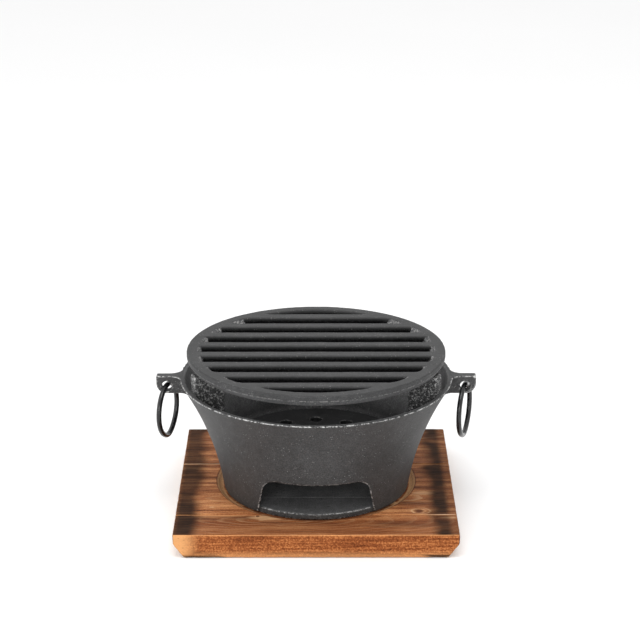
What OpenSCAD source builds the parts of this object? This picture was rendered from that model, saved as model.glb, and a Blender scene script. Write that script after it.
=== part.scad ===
// Hibachi grill: a cast-iron charcoal stove that stands in the recess of a charred board, with a fire grate
// on three ledges inside its bowl, a lift-off cooking grate on three lugs and a wire ring in each ear.
// Millimetres, +Z up. The origin is under the middle of the board, and the air inlet faces -Y.

/* [Board] */
// Width of the board, in line with the ears
board_w = 212; // [200:1:240]
// Depth of the board, front to back
board_d = 202; // [190:1:240]
// Thickness of the board
board_t = 19; // [16:0.5:30]
// Depth of the round recess that the stove stands in
recess_depth = 3; // [1:0.5:5]
// Space round the stove's foot on the recess floor
recess_gap = 1.6; // [1:0.1:3]
// Run of the recess's sloped edge
recess_slope = 4; // [1:0.5:6]
// Share of the depth that the back plank takes
back_share = 0.36; // [0.25:0.01:0.45]
// Share of the depth that the front plank takes
front_share = 0.17; // [0.12:0.01:0.25]
// Width of the cut under each end of the board
end_cut_w = 8; // [4:1:12]
// Height of the cut under each end of the board
end_cut_h = 11; // [6:1:13]

/* [Stove] */
// Radius of the rim
rim_r = 105; // [102:0.5:108]
// Radius of the foot
foot_r = 71.8; // [71:0.1:74]
// Height of the casting from foot to rim
stove_h = 90; // [86:1:100]
// Radius of the hollow curve that the wall flares on
flare_r = 230.7; // [200:0.1:300]
// Thickness of the wall
wall = 3.6; // [3:0.1:4]
// Thickness of the floor
floor_t = 5; // [4:0.5:7]
// How far the floor stands back from the wall's face in the air inlet
sill_back = 1.2; // [0.5:0.1:2]

/* [Air inlet] */
// Width of the air inlet at its top corners
inlet_w = 79.5; // [60:0.5:80]
// Width of the air inlet at the foot
inlet_foot_w = 88; // [82:1:94]
// Height of the inlet's top edge above the foot
inlet_top = 32; // [24:1:36]
// Radius of the inlet's top corners
inlet_corner_r = 9; // [3:0.5:10]

/* [Ears] */
// Distance from the middle to the tip of an ear
ear_tip = 123; // [122:0.5:128]
// Thickness of an ear, front to back
ear_t = 7.5; // [6.5:0.5:7.5]
// Height of an ear
ear_h = 14.5; // [14:0.5:16]
// Radius of the ear's lower corner
ear_low_r = 8; // [4:0.5:8]
// Radius of the ear's upper corner
ear_top_r = 2; // [1:0.5:2]
// Radius of the fillet under an ear
ear_root_r = 9; // [5:0.5:10]
// How deep that fillet cuts into the wall's skin
ear_root_bite = 0.8; // [0.5:0.1:1.5]
// Distance from the middle to the ring's hole
hole_x = 114.6; // [114:0.1:116]
// Depth of the hole's middle below the rim
hole_drop = 8.4; // [7:0.1:8.6]
// Diameter of the hole
hole_d = 8; // [8:0.1:8.2]

/* [Ring handles] */
// Diameter of the wire
wire_d = 4; // [3:0.1:4.1]
// Radius of the ring at the middle of its wire
ring_r = 20; // [19:0.5:23]
// How far the left ring's plane is turned about the vertical, in degrees
left_turn = 16; // [0:1:16]
// How far the right ring's plane is turned about the vertical, in degrees
right_turn = 16; // [0:1:16]
// Opening between the wire's ends, in degrees round the ring
ring_split = 3; // [1:0.5:6]

/* [Lugs and ledges] */
// Thickness of a lug
lug_t = 11.5; // [8:0.5:14]
// Radius of a lug's inner face
lug_in_r = 75; // [74.5:0.5:78]
// Radius where a lug's flat top begins
lug_flat_r = 90; // [86:0.5:94]
// Radius of a lug's outer edge
lug_out_r = 99; // [97:0.5:100]
// Height of the lugs' flat tops above the rim
lug_rise = 12; // [6:0.5:16]
// Fall of a lug's sloped edge
lug_slope = 13.5; // [8:0.5:18]
// How far the side lugs stand in front of the ears, in degrees
lug_forward = 20; // [15:1:30]
// Radius of a ledge's inner end
ledge_in_r = 66; // [64:0.5:68]
// Thickness of a ledge at its inner end
ledge_t = 4; // [3:0.5:6]

/* [Fire grate] */
// Radius of the fire grate
fire_r = 72; // [71:0.1:72.2]
// Thickness of the fire grate
fire_t = 5; // [4:0.5:6]
// Height of its underside above the foot
fire_z = 28; // [27.5:0.5:32]
// Diameter of its air holes
fire_hole_d = 9; // [6:0.5:11]

/* [Cooking grate] */
// Radius of the cooking grate
grate_r = 99; // [97:0.5:101]
// Thickness of the cooking grate
grate_t = 9; // [7:0.5:11]
// Radius of its lower face, inside the bevel round its edge
grate_low_r = 95.5; // [93:0.5:97]
// Height of the upright part of its edge, above the bevel
grate_edge_h = 4; // [2:0.5:6]
// Radius at which the slots end, on the upper face
slot_end_r = 90.5; // [88:0.5:92]
// Number of slots
slots = 9; // [7:1:9]
// Distance from slot to slot
slot_pitch = 21.5; // [20:0.1:21.5]
// Width of a slot at the upper face
slot_top_w = 12.4; // [10:0.1:14]
// Width of a slot at the lower face
slot_low_w = 9.4; // [7:0.1:10]

/* [Hidden] */
$fn = 144;
eps = 1;
seat_gap = 0.2;

iron = [0.30, 0.30, 0.31];
grate_iron = [0.23, 0.23, 0.24];
wire_black = [0.06, 0.06, 0.06];
pine = [0.66, 0.40, 0.22];

// Heights above the board's underside
recess_z = board_t - recess_depth;
stove_z = recess_z + seat_gap;
lug_top = stove_h + lug_rise;
grate_z = stove_z + lug_top + seat_gap;

// Middle of the circle that the wall's outer face follows, in radius and height
flare_run = rim_r - foot_r;
flare_chord = norm([flare_run, stove_h]);
flare_reach = sqrt(flare_r * flare_r - flare_chord * flare_chord / 4) / flare_chord;
flare_x = (foot_r + rim_r) / 2 + stove_h * flare_reach;
flare_z = stove_h / 2 - flare_run * flare_reach;

// Fillet under an ear: its middle, and where it touches the wall
root_z = stove_h - ear_h - ear_root_r;
root_reach = flare_r + ear_root_bite - ear_root_r;
root_x = flare_x - sqrt(root_reach * root_reach - pow(root_z - flare_z, 2));
touch_x = root_x - ear_root_r * (flare_x - root_x) / root_reach;
touch_z = root_z + ear_root_r * (root_z - flare_z) / root_reach;

hinge_z = stove_h - hole_drop + ear_t * ear_t / ring_r / 16;
slot_rows = [for (i = [0 : slots - 1]) (i - (slots - 1) / 2) * slot_pitch];
hole_rings = [[0, 1], [24, 6], [48, 12]];

// Everything within the flare circle grown by `inset`, up to the rim: the wall's section, less that much skin.
module outside_section(inset) {
    difference() {
        square([flare_x, stove_h]);
        translate([flare_x, flare_z])
            circle(r = flare_r + inset, $fn = 720);
    }
}

// The space inside the wall, above the floor.
module cavity() {
    rotate_extrude()
        difference() {
            translate([0, floor_t])
                square([flare_x, stove_h]);
            translate([flare_x, flare_z])
                circle(r = flare_r + wall, $fn = 720);
        }
}

// An ear's side view: rounded at its tip and running into the wall through a fillet.
module ear_section() {
    low = stove_h - ear_h;
    difference() {
        translate([foot_r, low])
            square([ear_tip - foot_r, ear_h]);
        translate([ear_tip - ear_low_r, low])
            difference() {
                square([ear_low_r, ear_low_r]);
                translate([0, ear_low_r])
                    circle(r = ear_low_r);
            }
        translate([ear_tip - ear_top_r, stove_h - ear_top_r])
            difference() {
                square([ear_top_r, ear_top_r]);
                circle(r = ear_top_r);
            }
    }
    difference() {
        translate([touch_x - eps, touch_z])
            square([root_x - touch_x + eps, low - touch_z + eps]);
        translate([root_x, root_z])
            circle(r = ear_root_r);
    }
}

module ears() {
    for (side = [0, 1])
        mirror([side, 0, 0])
            difference() {
                rotate([90, 0, 0])
                    linear_extrude(ear_t, center = true)
                        ear_section();
                translate([hole_x, 0, stove_h - hole_drop])
                    rotate([90, 0, 0])
                        cylinder(d = hole_d, h = ear_t + 2 * eps, center = true);
            }
}

// The air inlet's front view, open at the bottom. Each side leans in from the foot to touch its round corner.
module inlet_section() {
    foot_x = inlet_foot_w / 2;
    half = inlet_w / 2 - inlet_corner_r;
    rise = inlet_top - inlet_corner_r + eps;
    reach = norm([foot_x - half, rise]);
    side_l = sqrt(reach * reach - inlet_corner_r * inlet_corner_r);
    lean = atan2(foot_x - half, rise) - asin(inlet_corner_r / reach);
    touch_x = foot_x - side_l * sin(lean);
    touch_z = side_l * cos(lean) - eps;
    polygon([
        [-foot_x, -eps],
        [foot_x, -eps],
        [touch_x, touch_z],
        [half, inlet_top],
        [-half, inlet_top],
        [-touch_x, touch_z]
    ]);
    for (side = [-1, 1])
        translate([side * half, inlet_top - inlet_corner_r])
            circle(r = inlet_corner_r);
}

// Cuts the inlet through the wall, and leaves the floor standing a little back from the wall's face.
module inlet() {
    difference() {
        rotate([90, 0, 0])
            linear_extrude(rim_r)
                inlet_section();
        translate([0, 0, -2 * eps])
            cylinder(r = foot_r - sill_back, h = floor_t + 2 * eps);
    }
}

// A lug that carries the cooking grate, and under it the ledge for the fire grate.
module lug() {
    slope_z = lug_top - lug_slope;
    rotate([90, 0, 0])
        linear_extrude(lug_t, center = true) {
            intersection() {
                outside_section(wall / 2);
                union() {
                    translate([lug_in_r, fire_z])
                        square([lug_out_r - lug_in_r, stove_h]);
                    polygon([
                        [ledge_in_r, fire_z],
                        [ledge_in_r, fire_z - ledge_t],
                        [foot_r, fire_z - 2 * ledge_t],
                        [lug_in_r + wall, fire_z - 2 * ledge_t],
                        [lug_in_r + wall, fire_z]
                    ]);
                }
            }
            polygon([
                [lug_in_r, slope_z - lug_slope],
                [lug_in_r, slope_z],
                [lug_flat_r, lug_top],
                [lug_out_r, lug_top],
                [lug_out_r, slope_z - wall],
                [lug_flat_r, slope_z - lug_slope]
            ]);
        }
}

module stove_body() {
    color(iron)
        translate([0, 0, stove_z]) {
            difference() {
                union() {
                    rotate_extrude()
                        outside_section(0);
                    ears();
                }
                cavity();
                inlet();
            }
            for (angle = [90, -lug_forward, 180 + lug_forward])
                rotate([0, 0, angle])
                    lug();
        }
}

// A ring hangs from the middle of its ear's hole, with the wire's ends facing each other at the bottom.
module ring(side, turn) {
    color(wire_black)
        translate([side * hole_x, 0, stove_z + hinge_z - ring_r])
            rotate([0, 0, -turn])
                rotate([0, 90, 0])
                    rotate([0, 0, ring_split / 2])
                        rotate_extrude(angle = 360 - ring_split, start = 0)
                            translate([ring_r, 0])
                                circle(d = wire_d, $fn = 48);
}

module ring_left() {
    ring(-1, left_turn);
}

module ring_right() {
    ring(1, right_turn);
}

module fire_grate() {
    color(grate_iron)
        translate([0, 0, stove_z + fire_z + seat_gap])
            difference() {
                cylinder(r = fire_r, h = fire_t);
                for (ring = hole_rings, i = [1 : ring[1]])
                    rotate([0, 0, 360 * i / ring[1]])
                        translate([ring[0], 0, -eps])
                            cylinder(d = fire_hole_d, h = fire_t + 2 * eps, $fn = 48);
            }
}

// The slots run from ear to ear, narrow towards their lower side and end on a slanted ring.
module cooking_grate() {
    color(grate_iron)
        translate([0, 0, grate_z])
            difference() {
                rotate_extrude()
                    polygon([
                        [0, 0],
                        [grate_low_r, 0],
                        [grate_r, grate_t - grate_edge_h],
                        [grate_r, grate_t],
                        [0, grate_t]
                    ]);
                intersection() {
                    translate([0, 0, -eps])
                        cylinder(r1 = slot_end_r - grate_t / 3, r2 = slot_end_r, h = grate_t + 2 * eps);
                    for (y = slot_rows)
                        translate([0, y, 0])
                            slot();
                }
            }
}

module slot() {
    rotate([90, 0, 90])
        linear_extrude(2 * grate_r, center = true)
            polygon([
                [-slot_low_w / 2, -2 * eps],
                [slot_low_w / 2, -2 * eps],
                [slot_low_w / 2, 0],
                [slot_top_w / 2, grate_t],
                [slot_top_w / 2, grate_t + 2 * eps],
                [-slot_top_w / 2, grate_t + 2 * eps],
                [-slot_top_w / 2, grate_t],
                [-slot_low_w / 2, 0]
            ]);
}

// One plank of the board, from `front` to `back` along Y, with its share of the recess and of the end cuts.
module plank(front, back) {
    recess_r = foot_r + recess_gap;
    color(pine)
        difference() {
            translate([-board_w / 2, front, 0])
                cube([board_w, back - front, board_t]);
            translate([0, 0, recess_z])
                cylinder(
                    r1 = recess_r,
                    r2 = recess_r + recess_slope * (recess_depth + eps) / recess_depth,
                    h = recess_depth + eps
                );
            for (side = [0, 1])
                mirror([side, 0, 0])
                    rotate([90, 0, 0])
                        linear_extrude(board_d + 2 * eps, center = true)
                            polygon([
                                [board_w / 2 - end_cut_w, -eps],
                                [board_w / 2 - end_cut_w, 0],
                                [board_w / 2, end_cut_h],
                                [board_w / 2 + eps, end_cut_h],
                                [board_w / 2 + eps, -eps]
                            ]);
        }
}

module plank_back() {
    plank(board_d * (0.5 - back_share), board_d / 2);
}

module plank_middle() {
    plank(board_d * (front_share - 0.5), board_d * (0.5 - back_share));
}

module plank_front() {
    plank(-board_d / 2, board_d * (front_share - 0.5));
}

plank_back();
plank_middle();
plank_front();
stove_body();
ring_left();
ring_right();
fire_grate();
cooking_grate();
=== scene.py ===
"""A tabletop hibachi: cast-iron stove, two grates and two wire rings on a scorched pine board.

The castings and the planks are shaped as distance fields in millimetres and cast into even meshes, so that
every edge has its radius and every joint its fillet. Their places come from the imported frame, +Z up.
"""

import logging
import math
from collections.abc import Callable, Sequence
from dataclasses import dataclass, field
from enum import Enum

import bpy
import numpy as np
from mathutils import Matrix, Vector


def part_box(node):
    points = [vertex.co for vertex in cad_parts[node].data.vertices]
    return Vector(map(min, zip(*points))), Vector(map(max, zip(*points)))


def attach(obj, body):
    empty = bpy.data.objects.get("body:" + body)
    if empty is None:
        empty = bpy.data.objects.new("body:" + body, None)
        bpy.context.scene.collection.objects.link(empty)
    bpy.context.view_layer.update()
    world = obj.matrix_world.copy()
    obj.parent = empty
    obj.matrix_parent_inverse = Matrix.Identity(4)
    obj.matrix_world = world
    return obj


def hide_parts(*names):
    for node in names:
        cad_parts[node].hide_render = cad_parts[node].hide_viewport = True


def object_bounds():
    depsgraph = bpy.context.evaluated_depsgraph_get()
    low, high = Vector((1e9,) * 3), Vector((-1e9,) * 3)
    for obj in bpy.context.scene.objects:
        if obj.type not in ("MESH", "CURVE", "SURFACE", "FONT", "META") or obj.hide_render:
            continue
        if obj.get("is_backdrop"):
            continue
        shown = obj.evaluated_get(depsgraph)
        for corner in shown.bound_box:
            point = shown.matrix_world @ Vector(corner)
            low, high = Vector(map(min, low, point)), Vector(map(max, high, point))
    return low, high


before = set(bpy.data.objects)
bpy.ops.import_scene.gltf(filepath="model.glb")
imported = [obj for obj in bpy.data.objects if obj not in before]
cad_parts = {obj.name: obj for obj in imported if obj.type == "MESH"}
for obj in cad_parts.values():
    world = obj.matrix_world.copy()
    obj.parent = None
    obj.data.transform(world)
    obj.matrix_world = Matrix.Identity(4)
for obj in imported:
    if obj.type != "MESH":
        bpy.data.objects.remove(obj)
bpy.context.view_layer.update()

Array = np.ndarray
Field = Callable[[Array], Array]
Feed = "float | Sequence[float] | Shade | bpy.types.NodeSocket"

MM = 0.001
NOISE_VALUES = 4096
NOISE_KEYS = np.array([73856093, 19349663, 83492791])
UP = np.array([0, 0, 1.0])
log = logging.getLogger("hibachi")


# ---------------------------------------------------------------- distance fields


def both(a: Array, b: Array, radius: float = 0.0) -> Array:
    """The space that is inside both shapes, with its new edge rounded.

    Args:
        a: Distances to the first shape, negative inside.
        b: Distances to the second shape.
        radius: Radius of the rounded edge, in millimetres.

    Returns:
        Distances to the shape that they share.
    """
    if radius <= 0:
        return np.maximum(a, b)
    inner = np.minimum(-radius, np.maximum(a, b))
    return inner + np.hypot(np.maximum(radius + a, 0), np.maximum(radius + b, 0))


def either(a: Array, b: Array, radius: float = 0.0) -> Array:
    """Distances to the two shapes joined, with a fillet of that radius between them."""
    return -both(-a, -b, radius)


def without(a: Array, b: Array, radius: float = 0.0) -> Array:
    """Distances to the first shape with the second cut out of it, and the cut's edge rounded."""
    return both(a, -b, radius)


def clouds(points: Array, size: float, seed: int) -> Array:
    """Smooth seeded noise between -1 and 1.

    Args:
        points: Places, one row each.
        size: Width of one lump, in the points' unit.
        seed: Which of the patterns to use.

    Returns:
        One value for each place.
    """
    table = np.random.default_rng(seed).uniform(-1, 1, NOISE_VALUES)
    scaled = points / size
    whole = np.floor(scaled).astype(np.int64)
    part = scaled - whole
    part = part * part * (3 - 2 * part)
    total = np.zeros(len(points))
    for corner in range(8):
        step = np.array([corner & 1, corner >> 1 & 1, corner >> 2 & 1])
        key = (whole + step) @ NOISE_KEYS
        weight = np.prod(np.where(step, part, 1 - part), axis=1)
        total += weight * table[key % NOISE_VALUES]
    return total


def ripples(points: Array, waves: Sequence[tuple[float, int, float]], drop: float, limit: float) -> Array:
    """Layered noise that mostly lies below the surface.

    Args:
        points: Places, one row each.
        waves: Each layer's lump width, seed and depth.
        drop: How far the middle lies below the surface.
        limit: The highest that it may stand above the surface.

    Returns:
        One height for each place.
    """
    total = sum(clouds(points, size, seed) * depth for size, seed, depth in waves)
    return np.minimum(total - drop, limit)


@dataclass
class Casting:
    """A closed mesh in millimetres: its points, its four-sided faces and its outward normals."""

    points: Array
    faces: Array
    normals: Array
    shades: dict[str, Array] = field(default_factory=dict)
    ridge_gain: float = 1.6

    def face_outwards(self) -> None:
        """Turns every face round if the mesh as a whole is inside out."""
        a, b, c, d = (self.points[self.faces[:, i]] for i in range(4))
        volume = np.sum(a * (np.cross(b, c) + np.cross(c, d)))
        if volume < 0:
            self.faces = self.faces[:, ::-1]

    def neighbours(self) -> tuple[Array, Array]:
        """The two ends of every edge, once each way."""
        ends = np.concatenate([self.faces[:, [i, (i + 1) % 4]] for i in range(4)])
        return np.concatenate([ends[:, 0], ends[:, 1]]), np.concatenate([ends[:, 1], ends[:, 0]])

    def averaged(self, values: Array) -> Array:
        """The mean of the values at each point's neighbours."""
        here, there = self.neighbours()
        count = np.bincount(here, minlength=len(self.points))
        columns = values.reshape(len(values), -1)
        sums = [np.bincount(here, c[there], len(self.points)) for c in columns.T]
        return (np.stack(sums, axis=1) / count[:, None]).reshape(values.shape)

    def ridges(self) -> Array:
        """How sharply the surface bends outwards at each point, from 0 on a flat to 1 on an edge."""
        here, there = self.neighbours()
        span = self.points[there] - self.points[here]
        turn = self.normals[there] - self.normals[here]
        bend = np.sum(span * turn, axis=1) / np.maximum(np.sum(span * span, axis=1), 1e-9)
        mean = np.bincount(here, bend, len(self.points)) / np.bincount(here, minlength=len(self.points))
        return np.clip(mean * self.ridge_gain, 0, 1)

    def press(self, push: Array, low: Array, high: Array) -> None:
        """Moves every point along its normal by the push, and keeps it inside the box."""
        self.points = np.clip(self.points + self.normals * push[:, None], low, high)


@dataclass(frozen=True)
class Mould:
    """Casts a distance field into an even mesh of four-sided faces.

    Attributes:
        low: Lowest corner of the space to fill, in millimetres.
        high: Highest corner.
        cell: Width of a face, in millimetres.
        margin: Empty cells below the lowest corner, off the round number so that no face lies on the grid.
        rounds: How often the mesh is evened out, and then settled.
        pull: Share of the way to its neighbours' mean that a point moves in one round.
    """

    low: tuple[float, float, float]
    high: tuple[float, float, float]
    cell: float
    margin: float = 2.37
    rounds: int = 3
    pull: float = 0.6

    def cast(self, shape: Field) -> Casting:
        """Makes the mesh of a shape.

        Args:
            shape: The distance field, negative inside.

        Returns:
            The mesh, settled on the shape's surface.
        """
        low = np.array(self.low) - self.margin * self.cell
        counts = np.ceil((np.array(self.high) - low) / self.cell).astype(int) + 3
        values = self.sample(shape, low, counts)
        cells, faces = self.net(values)
        casting = Casting(low + cells * self.cell, faces, np.zeros_like(cells))
        for _ in range(self.rounds):
            self.settle(casting, shape)
            even = casting.averaged(casting.points)
            casting.points = (1 - self.pull) * casting.points + self.pull * even
        for _ in range(self.rounds):
            self.settle(casting, shape)
        casting.shades["ridge"] = casting.ridges()
        return casting

    def sample(self, shape: Field, low: Array, counts: Array) -> Array:
        """The field's values on the grid, worked out one slab at a time."""
        axes = [low[i] + self.cell * np.arange(counts[i]) for i in range(3)]
        values = np.empty(tuple(counts), np.float32)
        for i, x in enumerate(axes[0]):
            y, z = np.meshgrid(axes[1], axes[2], indexing="ij")
            slab = np.stack([np.full(y.size, x), y.ravel(), z.ravel()], axis=1)
            values[i] = shape(slab).reshape(y.shape)
        return values

    @staticmethod
    def net(values: Array) -> tuple[Array, Array]:
        """One point in each cell that the surface crosses, and one face round each crossed grid line.

        Args:
            values: The field's values on the grid.

        Returns:
            The points in cells from the grid's corner, and the faces.
        """
        shape = np.array(values.shape) - 1
        total = int(np.prod(shape))
        sums, count, rings = np.zeros((3, total)), np.zeros(total), []
        for axis in range(3):
            near = np.moveaxis(values, axis, 0)[:-1]
            far = np.moveaxis(values, axis, 0)[1:]
            found = np.argwhere((near < 0) != (far < 0))
            before, after = near[tuple(found.T)], far[tuple(found.T)]
            place = np.moveaxis(np.arange(values.size).reshape(values.shape), axis, 0)[:-1][tuple(found.T)]
            index = np.stack(np.unravel_index(place, values.shape), axis=1)
            crossing = index.astype(float)
            crossing[:, axis] += before / (before - after)
            across, up = (axis + 1) % 3, (axis + 2) % 3
            corners = []
            for step_across, step_up in ((0, 0), (1, 0), (1, 1), (0, 1)):
                cell = index.copy()
                cell[:, across] -= step_across
                cell[:, up] -= step_up
                flat = np.ravel_multi_index(tuple(cell.T), tuple(shape))
                corners.append(flat)
                count += np.bincount(flat, minlength=total)
                for k in range(3):
                    sums[k] += np.bincount(flat, crossing[:, k], total)
            ring = np.stack(corners, axis=1)
            outwards = before < 0
            rings.append(np.where(outwards[:, None], ring, ring[:, ::-1]))
        used = np.flatnonzero(count)
        number = np.full(total, -1)
        number[used] = np.arange(len(used))
        return (sums[:, used] / count[used]).T, number[np.concatenate(rings)]

    def settle(self, casting: Casting, shape: Field) -> None:
        """Moves each point straight onto the surface and turns its normal outwards."""
        step = 0.06 * self.cell
        slope = np.empty_like(casting.points)
        for k in range(3):
            shift = np.zeros(3)
            shift[k] = step
            slope[:, k] = (shape(casting.points + shift) - shape(casting.points - shift)) / (2 * step)
        size = np.maximum(np.linalg.norm(slope, axis=1), 1e-6)
        casting.normals = slope / size[:, None]
        travel = np.clip(shape(casting.points) / np.maximum(size, 0.3), -self.cell, self.cell)
        casting.points = casting.points - travel[:, None] * casting.normals


# ---------------------------------------------------------------- shader work


class Shade:
    """A socket in a material's tree that takes part in sums: each operator adds its Math node."""

    def __init__(self, bench: "Bench", socket: bpy.types.NodeSocket) -> None:
        """Wraps a socket of the bench's tree."""
        self.bench = bench
        self.socket = socket

    def _sum(self, operation: str, first: "Feed", second: "Feed" = 0.0) -> "Shade":
        """The result of one Math node."""
        return self.bench.out("ShaderNodeMath", {"operation": operation}, {0: first, 1: second})

    def __add__(self, other: "Feed") -> "Shade":
        """This plus the other."""
        return self._sum("ADD", self, other)

    def __sub__(self, other: "Feed") -> "Shade":
        """This less the other."""
        return self._sum("SUBTRACT", self, other)

    def __rsub__(self, other: "Feed") -> "Shade":
        """The other less this."""
        return self._sum("SUBTRACT", other, self)

    def __mul__(self, other: "Feed") -> "Shade":
        """This times the other."""
        return self._sum("MULTIPLY", self, other)

    def __truediv__(self, other: "Feed") -> "Shade":
        """This over the other."""
        return self._sum("DIVIDE", self, other)

    def __pow__(self, other: "Feed") -> "Shade":
        """This to the power of the other."""
        return self._sum("POWER", self, other)

    def __abs__(self) -> "Shade":
        """This without its sign."""
        return self._sum("ABSOLUTE", self)

    __radd__ = __add__
    __rmul__ = __mul__

    def fraction(self) -> "Shade":
        """What is left of this above the whole number below it."""
        return self._sum("FRACT", self)

    def least(self, other: "Feed") -> "Shade":
        """The smaller of this and the other."""
        return self._sum("MINIMUM", self, other)

    def most(self, other: "Feed") -> "Shade":
        """The larger of this and the other."""
        return self._sum("MAXIMUM", self, other)

    def rise(self, start: float, end: float) -> "Shade":
        """A smooth step from 0 at start to 1 at end; it falls where end is below start."""
        settings = {"interpolation_type": "SMOOTHSTEP"}
        if start > end:
            return 1 - self.rise(end, start)
        feeds = {"Value": self, 1: start, 2: end, 3: 0.0, 4: 1.0}
        return self.bench.out("ShaderNodeMapRange", settings, feeds)


class Bench:
    """Where one material is put together."""

    def __init__(self, name: str) -> None:
        """Starts an empty material.

        Args:
            name: The material's name.
        """
        self.material = bpy.data.materials.new(name)
        self.material.use_nodes = True
        self.tree = self.material.node_tree
        self.tree.nodes.clear()

    def node(self, kind: str, settings: dict | None = None, feeds: dict | None = None) -> bpy.types.Node:
        """Adds one node.

        Args:
            kind: The node's type.
            settings: What to set on it first; "stops" holds a ramp's places and colours.
            feeds: For each input, a value or the socket that drives it.

        Returns:
            The node.
        """
        made = self.tree.nodes.new(kind)
        for key, value in (settings or {}).items():
            if key != "stops":
                setattr(made, key, value)
                continue
            ramp = made.color_ramp
            while len(ramp.elements) < len(value):
                ramp.elements.new(0.5)
            for element, (place, colour) in zip(ramp.elements, value, strict=True):
                element.position = place
                element.color = (*colour, 1.0)
        for key, value in (feeds or {}).items():
            socket = made.inputs[key]
            source = value.socket if isinstance(value, Shade) else value
            if isinstance(source, bpy.types.NodeSocket):
                self.tree.links.new(source, socket)
            elif isinstance(source, (int, float)):
                socket.default_value = source
            else:
                socket.default_value = (*source, 1.0) if socket.type == "RGBA" else tuple(source)
        return made

    def out(
        self, kind: str, settings: dict | None = None, feeds: dict | None = None, output: int | str = 0
    ) -> Shade:
        """Adds one node and gives one of its outputs.

        Args:
            kind: The node's type.
            settings: As in node().
            feeds: As in node().
            output: Which output to give.

        Returns:
            The output.
        """
        return Shade(self, self.node(kind, settings, feeds).outputs[output])

    def place(self) -> Shade:
        """The point of the piece that is being coloured, in metres in its own frame."""
        return self.out("ShaderNodeTexCoord", output="Object")

    def split(self, vector: Shade) -> tuple[Shade, Shade, Shade]:
        """A vector's three parts."""
        made = self.node("ShaderNodeSeparateXYZ", feeds={0: vector})
        return tuple(Shade(self, made.outputs[i]) for i in range(3))

    def stretched(self, vector: Shade, scale: Sequence[float], shift: Sequence[float] = (0, 0, 0)) -> Shade:
        """The vector scaled along each axis and then shifted."""
        settings = {"operation": "MULTIPLY_ADD"}
        return self.out("ShaderNodeVectorMath", settings, {0: vector, 1: tuple(scale), 2: tuple(shift)})

    def noise(self, vector: Shade, scale: float, detail: float = 2.0, rough: float = 0.5) -> Shade:
        """Soft noise from 0 to 1."""
        feeds = {"Vector": vector, "Scale": scale, "Detail": detail, "Roughness": rough}
        return self.out("ShaderNodeTexNoise", feeds=feeds)

    def spots(self, vector: Shade, scale: float) -> Shade:
        """Distance to the nearest of many scattered points."""
        return self.out("ShaderNodeTexVoronoi", feeds={"Vector": vector, "Scale": scale, "Randomness": 1.0})

    def shade_of(self, name: str) -> Shade:
        """A value that the mesh carries at each of its points."""
        return self.out("ShaderNodeAttribute", {"attribute_name": name}, output="Fac")

    def ramp(self, value: Shade, stops: Sequence[tuple[float, Sequence[float]]]) -> Shade:
        """A colour from a row of places and colours."""
        return self.out("ShaderNodeValToRGB", {"stops": stops}, {0: value})

    def mix(self, share: "Feed", first: "Feed", second: "Feed", way: str = "MIX") -> Shade:
        """Two colours mixed by a share from 0 to 1."""
        settings = {"data_type": "RGBA", "blend_type": way}
        return self.out("ShaderNodeMix", settings, {0: share, 6: first, 7: second}, 2)

    def bell(self, x: Shade, y: Shade, middle: Sequence[float], size: Sequence[float]) -> Shade:
        """A soft oval patch, 1 at its middle and 0 from its half length and half width outwards."""
        run, rise = (x - middle[0]) / size[0], (y - middle[1]) / size[1]
        return (run * run + rise * rise).rise(1.0, 0.1)

    def bump(self, height: Shade, depth: float) -> Shade:
        """A normal from a height between 0 and 1, with that depth in metres."""
        return self.out("ShaderNodeBump", feeds={"Height": height, "Distance": depth, "Strength": 1.0})

    def finish(self, **feeds: "Feed") -> bpy.types.Material:
        """Closes the material with one Principled shader.

        Args:
            **feeds: Its inputs, with underscores for the spaces in their names.

        Returns:
            The material.
        """
        named = {key.replace("_", " "): value for key, value in feeds.items()}
        shader = self.out("ShaderNodeBsdfPrincipled", feeds=named)
        self.node("ShaderNodeOutputMaterial", feeds={"Surface": shader})
        return self.material


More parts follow.
